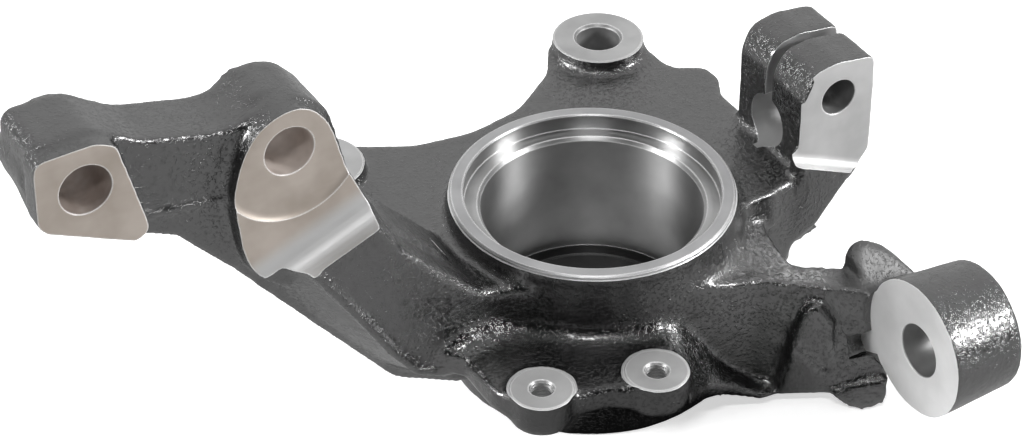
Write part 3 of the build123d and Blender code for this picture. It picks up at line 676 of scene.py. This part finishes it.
# %% Cutters for the ball-joint clamp
CLAMP_CORNER = 4.0   # mm, the mill's corner at the foot of the clamp's front
SAW = SLIT_WIDTH / 2
cutters.append(mill_sweep((60, -0.6), (100, -18.6), CLAMP_FRONT, CLAMP_CORNER, 60, CLAMP))
cutters.append(prism_mesh("saw", [(63, BALL_Z), (63, 45), (103, 45), (103, BALL_Z)], SLIT_Y - SAW, SLIT_Y + SAW,
    index=REAM))
cutters.append(turned_mesh("ball_bore", [(0, 64.6), (BALL_R, 64.6), (BALL_R, 96.6), (BALL_R + 0.5, 97.1),
    (BALL_R + 0.5, 99), (0, 99)], (SLIT_Y, BALL_Z), "x", index=SPOT))
cutters.append(turned_mesh("pinch_hole", [(0, CLAMP_FRONT - 2), (PINCH_R + 0.1, CLAMP_FRONT - 2),
    (PINCH_R + 0.1, CLAMP_FRONT), (PINCH_R, CLAMP_FRONT + 0.2), (PINCH_R, CLAMP_BACK + 2), (0, CLAMP_BACK + 2)],
    PINCH, "y", index=REAM))
print("with the clamp:", len(cutters), "cutters")


# %% Cutters for the track-rod boss
def end_cut(mesh):
    """Keeps the machined finish on the faces across x only; the wall round the cut stays cast."""
    for f in mesh.polygons:
        if abs(f.normal.x) < 0.9:
            f.material_index = CAST
    return mesh


cutters.append(end_cut(turned_mesh("rod_face", [(0, ROD_FACE_X - 16), (ROD_R + 0.4, ROD_FACE_X - 16),
    (ROD_R + 0.4, ROD_FACE_X), (0, ROD_FACE_X)], ROD_CENTRE, "x", index=MILL)))
cutters.append(end_cut(prism_mesh("nib_face", NIB, ROD_FACE_X - 8, ROD_FACE_X, index=MILL, axis="x")))
cutters.append(turned_mesh("rod_hole", [(0, ROD_FACE_X - 1), (ROD_HOLE_R + 0.2, ROD_FACE_X - 1),
    (ROD_HOLE_R + 0.2, ROD_FACE_X), (ROD_HOLE_R, ROD_FACE_X + 0.3), (ROD_HOLE_R, 94), (0, 94)], ROD_HOLE, "x",
    index=REAM))
print("with the track-rod boss:", len(cutters), "cutters")

# %% Cut
dress(skin_mesh, CAST)
knuckle = keep_object("knuckle", skin_mesh)
helpers = []
for mesh in cutters:
    if not mesh.materials:
        dress(mesh)
    helper = keep_object("cutter", mesh)
    helpers.append(helper)
    cut = knuckle.modifiers.new("cut", "BOOLEAN")
    cut.operation = "DIFFERENCE"
    cut.solver = "MANIFOLD"
    cut.object = helper
cut_mesh = baked(knuckle)
for helper in helpers:
    bpy.data.objects.remove(helper)
print("machined:", len(cut_mesh.polygons), "faces")

# %% [markdown]
# ## Step 5: clean the mesh and set its shading
# The cast skin is shaded smooth. Wherever two finishes meet, and wherever two machined faces meet at
# an angle, the edge is marked sharp, so that a flat face stays flat to the eye.

# %% Merge, mark sharp edges
SHARP_MACHINED, SHARP_CAST = math.radians(20), math.radians(50)
bm = bmesh.new()
bm.from_mesh(cut_mesh)
bmesh.ops.remove_doubles(bm, verts=bm.verts, dist=0.004 * MM)
loose = [v for v in bm.verts if not v.link_faces]
bmesh.ops.delete(bm, geom=loose, context="VERTS")
for f in bm.faces:
    f.smooth = True
for e in bm.edges:
    if len(e.link_faces) == 2:
        a, b = e.link_faces
        limit = SHARP_MACHINED if a.material_index or b.material_index else SHARP_CAST
        e.smooth = a.material_index == b.material_index and e.calc_face_angle(0) < limit
print("open edges:", sum(1 for e in bm.edges if not e.is_manifold), "faces:", len(bm.faces))
final_mesh = bpy.data.meshes.new("knuckle")
bm.to_mesh(final_mesh)
bm.free()
dress(final_mesh)

# %% The finished piece
piece = keep_object("knuckle_body", final_mesh)
print("triangles:", sum(len(f.vertices) - 2 for f in final_mesh.polygons))
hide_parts(CAST_NODE)
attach(piece, "root")

# %% [markdown]
# ## Step 6: the studio
# The light is soft and comes mostly from above and behind, as it does over a photographer's sweep, so
# that faces which look up shine and walls which face the camera stay dark. The floor is white paper.
# A glossy wall mirrors the floor, and close under the part the real floor is dark with shadow, so
# what a reflection sees of it grows lighter with the distance.

# %% Floor
FLOOR_HALF = 6.0   # metres
SHADE_Y, SHADE_IN, SHADE_OUT = -45.0, 30.0, 65.0   # mm, where the floor is dark under the part
low = cad_low.z - 0.05 * MM   # a hair under the part, so that the two don't touch
corners = [(-FLOOR_HALF, -FLOOR_HALF, low), (FLOOR_HALF, -FLOOR_HALF, low), (FLOOR_HALF, FLOOR_HALF, low),
    (-FLOOR_HALF, FLOOR_HALF, low)]
floor_mesh = bpy.data.meshes.new("floor")
floor_mesh.from_pydata(corners, [], [(0, 1, 2, 3)])
floor = keep_object("floor", floor_mesh)


def floor_material():
    mat, t = new_material("studio_paper")
    path = add(t, "ShaderNodeLightPath")
    place = add(t, "ShaderNodeTexCoord").outputs["Object"]
    away = add(t, "ShaderNodeVectorMath", {1: (0.0, SHADE_Y * MM, low)}, {0: place}, operation="DISTANCE")
    open_floor = add(t, "ShaderNodeMapRange",
        {"From Min": SHADE_IN * MM, "From Max": SHADE_OUT * MM, "To Min": 0.02, "To Max": 0.7},
        {"Value": away.outputs["Value"]})
    paper = add(t, "ShaderNodeBsdfDiffuse", {"Color": linear("#efefef")})
    glow = add(t, "ShaderNodeEmission", links={"Strength": open_floor.outputs[0]})
    lift = add(t, "ShaderNodeEmission", {"Strength": 0.6})
    shown = add(t, "ShaderNodeAddShader", links={0: paper.outputs[0], 1: lift.outputs[0]})
    mirror = add(t, "ShaderNodeMixShader",
        links={0: path.outputs["Is Glossy Ray"], 1: paper.outputs[0], 2: glow.outputs[0]})
    pick = add(t, "ShaderNodeMixShader",
        links={0: path.outputs["Is Camera Ray"], 1: mirror.outputs[0], 2: shown.outputs[0]})
    return close_material(mat, t, pick)


floor_mesh.materials.append(floor_material())

# %% The soft light all round
OVERHEAD = (0.5, 0.7, 0.5)   # toward the middle of the big overhead screen
world = bpy.data.worlds.new("studio")
bpy.context.scene.world = world
world.use_nodes = True
wt = world.node_tree
wt.nodes.clear()
path = add(wt, "ShaderNodeLightPath")
sky = add(wt, "ShaderNodeTexCoord").outputs["Generated"]
facing = add(wt, "ShaderNodeVectorMath", {1: OVERHEAD}, {0: sky}, operation="DOT_PRODUCT")
level = add(wt, "ShaderNodeMapRange", {"From Min": -0.15, "From Max": 0.85, "To Min": 0.03, "To Max": 1.15},
    {"Value": facing.outputs["Value"]})
plain = add(wt, "ShaderNodeBackground", links={"Strength": level.outputs[0]})
white = add(wt, "ShaderNodeBackground", {"Color": (1, 1, 1, 1), "Strength": 1.0})
mix = add(wt, "ShaderNodeMixShader", links={0: path.outputs["Is Camera Ray"], 1: plain.outputs[0], 2: white.outputs[0]})
add(wt, "ShaderNodeOutputWorld", links={"Surface": mix.outputs[0]})
print("world with", len(wt.nodes), "nodes")


# %% Three lamps: a narrow one for the sparkle, and one on each side for the bands in the bearing seat
def softbox(name, place, width, height, watts):
    """A soft rectangular lamp that looks at the middle of the hub."""
    lamp = bpy.data.lights.new(name, "AREA")
    lamp.shape = "RECTANGLE"
    lamp.size, lamp.size_y = width, height
    lamp.energy = watts
    obj = keep_object(name, lamp)
    obj.location = place
    obj.rotation_mode = "QUATERNION"
    obj.rotation_quaternion = (-Vector(place)).to_track_quat("-Z", "Y")
    return obj


lamps = [
    softbox("glint", (-0.45, -0.75, 1.35), 0.5, 0.08, 8),
    softbox("left", (-1.36, 0.34, 0.62), 0.4, 0.4, 23),
    softbox("right", (1.07, -0.9, 0.62), 0.4, 0.3, 25),
]
print("lamps:", [lamp.name for lamp in lamps])

# %% Camera
FOCAL_PX, FRAME_PX = 3112, 1024   # the lens in pixels of the frame's width
CAMERA_AT = (-424.1, -683.1, 615.95)   # mm
camera_data = bpy.data.cameras.new("camera")
camera_data.sensor_width = 36.0
camera_data.lens = camera_data.sensor_width * FOCAL_PX / FRAME_PX
camera_data.clip_start, camera_data.clip_end = 0.05, 20.0
camera = keep_object("camera", camera_data)
azimuth, elevation = math.radians(-30.0), math.radians(36.76)
back = Vector((math.sin(azimuth) * math.cos(elevation), -math.cos(azimuth) * math.cos(elevation), math.sin(elevation)))
right = Vector((math.cos(azimuth), math.sin(azimuth), 0))
up = back.cross(right)
turn = Matrix((right, up, back)).transposed().to_4x4()
camera.matrix_world = Matrix.Translation(Vector(CAMERA_AT) * MM) @ turn
bpy.context.scene.camera = camera
bpy.context.scene.view_settings.view_transform = "Standard"
print("camera", round(math.degrees(azimuth)), "degrees round and", round(math.degrees(elevation)), "up")
